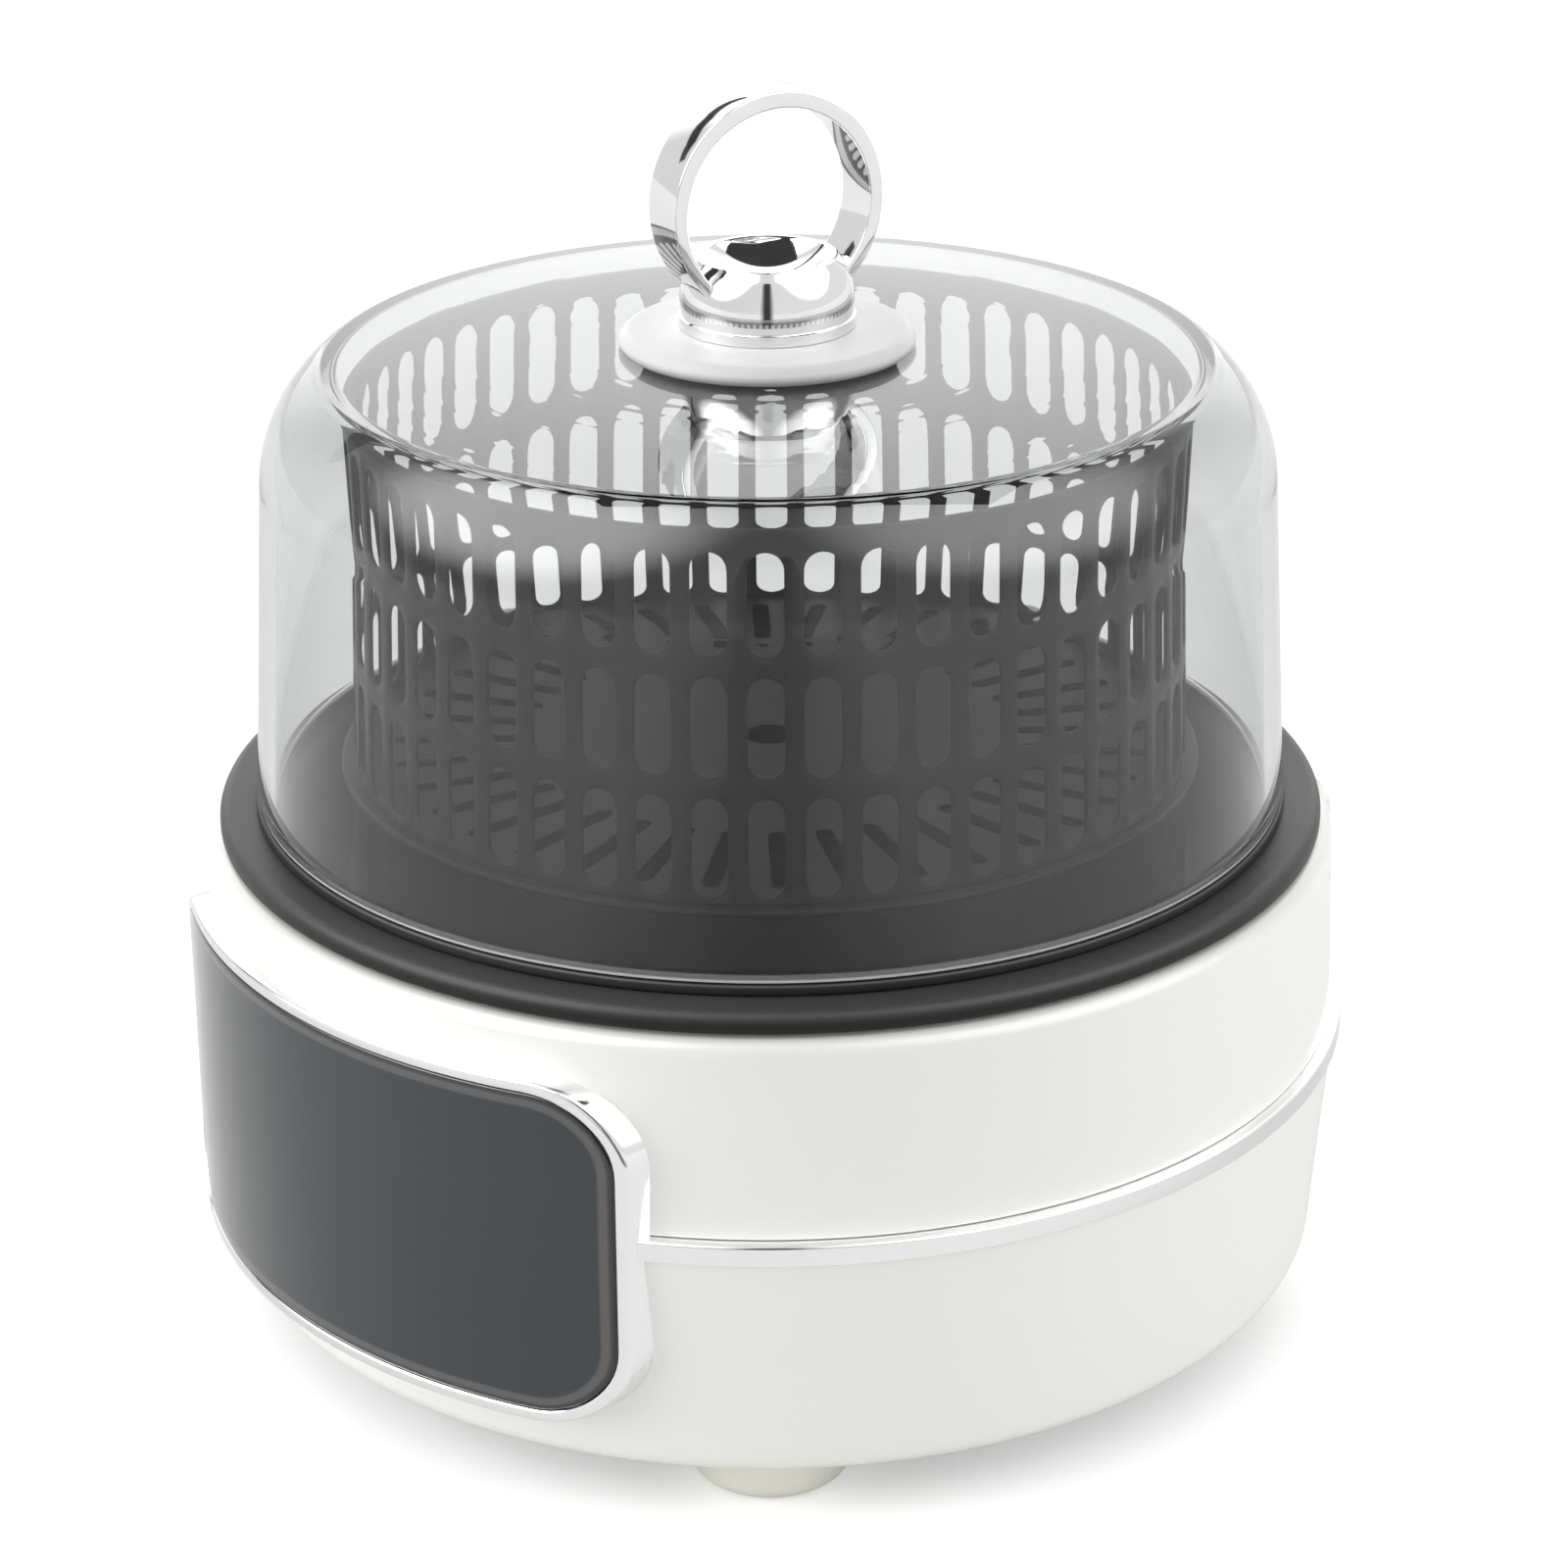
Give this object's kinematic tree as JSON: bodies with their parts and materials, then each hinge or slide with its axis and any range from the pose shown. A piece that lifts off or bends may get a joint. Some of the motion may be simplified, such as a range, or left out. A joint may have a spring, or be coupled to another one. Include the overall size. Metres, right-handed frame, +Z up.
{
  "type": "multicooker",
  "caption": "Round multicooker: cream base with a curved control panel, a lift-out pan, a perforated drum basket standing in it, and a lift-off glass dome with a ring handle",
  "frame": {"origin": "on the round body's axis, on the surface that the feet stand on", "axes": "+Z up; the control panel faces -Y and the inlet faces +Y; +X is to the right of someone who faces the panel"},
  "size_m": [0.274, 0.2772, 0.2907],
  "materials": {
    "cream_shell": "gloss cream moulded plastic",
    "chrome_trim": "bright plated trim",
    "grey_plastic": "fine-grained moulded plastic",
    "foot_plastic": "satin cream plastic",
    "panel_glass": "dark back-printed gloss glass",
    "dark_film": "dark film",
    "board": "green board with a satin mask",
    "dark_parts": "dark moulded plastic",
    "brass_pins": "bare metal",
    "steel": "zinc plated steel",
    "bright_liner": "bright sheet",
    "cast_plate": "machined cast plate",
    "element_sheath": "heat-darkened sheath",
    "ceramic": "white ceramic",
    "non_stick": "black non-stick coating",
    "dome_glass": "clear polished glass",
    "seal_rubber": "smooth dark rubber",
    "white_disc": "soft-gloss white plastic",
    "knob_chrome": "bright plated metal"
  },
  "bodies": {
    "base": {"lower_shell": "cream_shell", "upper_shell": "cream_shell", "chrome_band": "chrome_trim", "bottom_cover": "grey_plastic", "foot_front_left": "foot_plastic", "foot_front_right": "foot_plastic", "foot_rear_right": "foot_plastic", "foot_rear_left": "foot_plastic", "foot_screws": "steel", "cover_screws": "steel", "panel_bezel": "chrome_trim", "panel_glass": "panel_glass", "touch_film": "dark_film", "panel_carrier": "grey_plastic", "control_board": "board", "control_board_parts": "dark_parts", "control_board_screws": "steel", "rear_housing": "cream_shell", "inlet_socket": "dark_parts", "inlet_pins": "brass_pins", "inlet_screws": "steel", "liner": "bright_liner", "liner_screws": "steel", "heating_plate": "cast_plate", "heating_element": "element_sheath", "element_terminals": "ceramic", "thermal_fuse": "ceramic", "fuse_clip": "steel", "plate_posts": "steel", "plate_post_screws": "steel", "probe_sleeve": "bright_liner", "probe_spring": "steel", "power_board": "board", "power_board_parts": "dark_parts", "power_board_screws": "steel"},
    "probe": {"probe_cap": "cast_plate"},
    "pan": {"pan": "non_stick"},
    "basket": {"basket_wall": "non_stick", "basket_floor": "non_stick", "basket_skirt": "non_stick"},
    "lid": {"glass_dome": "dome_glass", "lid_seal": "seal_rubber", "lid_disc": "white_disc", "knob_body": "knob_chrome", "knob_ring": "knob_chrome", "lid_stud": "steel", "lid_washer": "steel", "lid_nut": "steel"}
  },
  "joints": [
    {"name": "pan_lift", "type": "slide", "parent": "base", "child": "pan", "axis": [0, 0, 1], "range_m": [0, 0.1]},
    {"name": "basket_lift", "type": "slide", "parent": "pan", "child": "basket", "axis": [0, 0, 1], "range_m": [0, 0.1]},
    {"name": "lid_lift", "type": "slide", "parent": "basket", "child": "lid", "axis": [0, 0, 1], "range_m": [0, 0.13]},
    {"name": "probe_press", "type": "slide", "parent": "base", "child": "probe", "axis": [0, 0, 1], "range_m": [-0.003, 0], "stiffness_N_per_m": 600, "springref_m": 0.003, "deforming": ["probe_spring"]}
  ]
}
